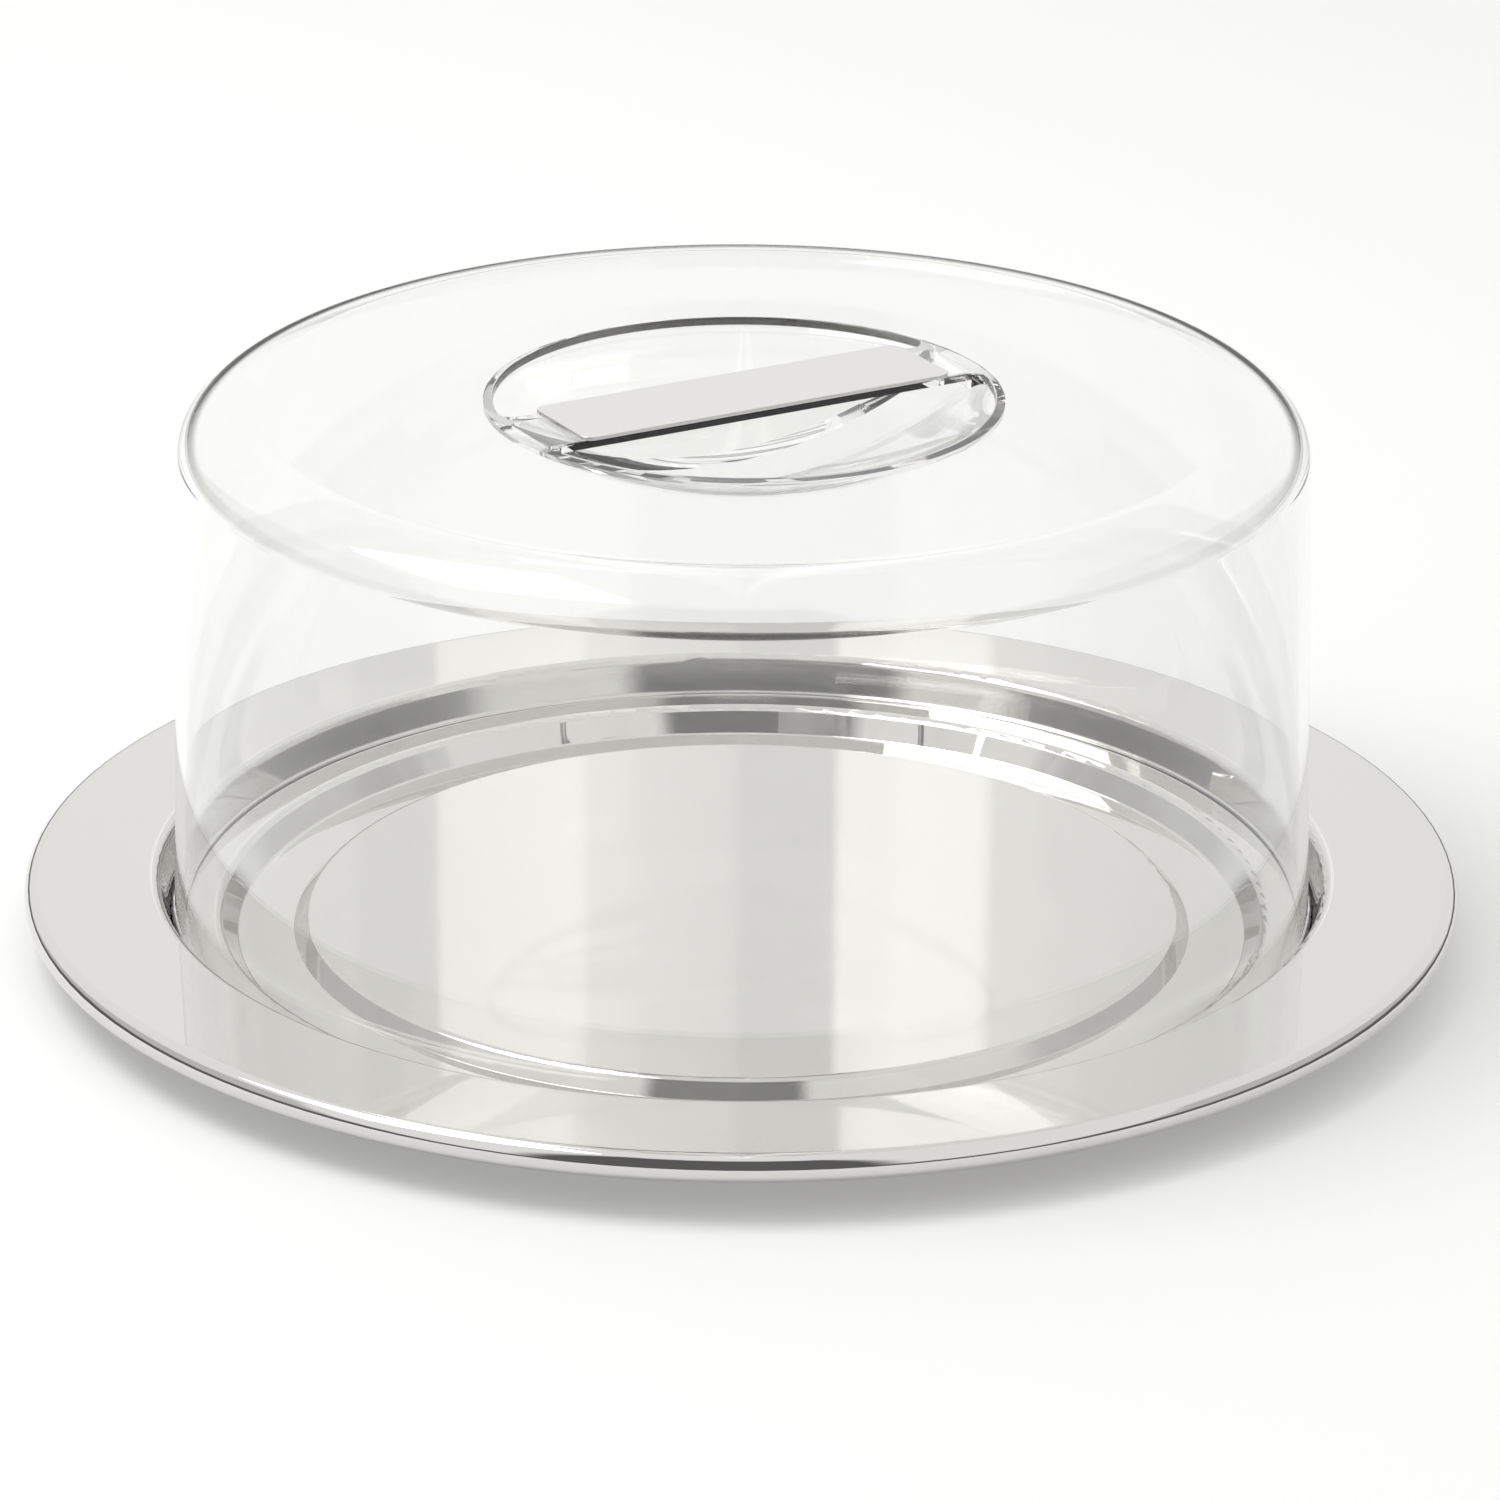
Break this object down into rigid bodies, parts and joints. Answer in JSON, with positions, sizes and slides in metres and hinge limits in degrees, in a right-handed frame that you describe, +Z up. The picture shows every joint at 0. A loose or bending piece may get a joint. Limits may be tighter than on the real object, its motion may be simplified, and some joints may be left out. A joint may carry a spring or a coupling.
{
  "type": "covered cheese plate",
  "caption": "Round pressed steel serving plate with a rolled rim and a clear lift-off cover, whose flat top has a recessed two-finger grip with a steel strip.",
  "frame": {"origin": "centre of the plate, on the surface that it stands on", "axes": "+Z up along the axis of the plate and cover; +X along the handle strip"},
  "size_m": [0.3, 0.3, 0.1172],
  "materials": {
    "plate_steel": "polished stainless sheet",
    "strip_steel": "fine satin",
    "clear_plastic": "clear moulded SAN, glossy",
    "adhesive": "acrylic adhesive sheet"
  },
  "bodies": {
    "plate": {"plate": "plate_steel"},
    "cover": {"cover": "clear_plastic", "handle_strip": "strip_steel", "adhesive_pad": "adhesive"}
  },
  "joints": [
    {"name": "cover_lift", "type": "slide", "parent": "plate", "child": "cover", "axis": [0, 0, 1], "range_m": [0, 0.15]}
  ]
}
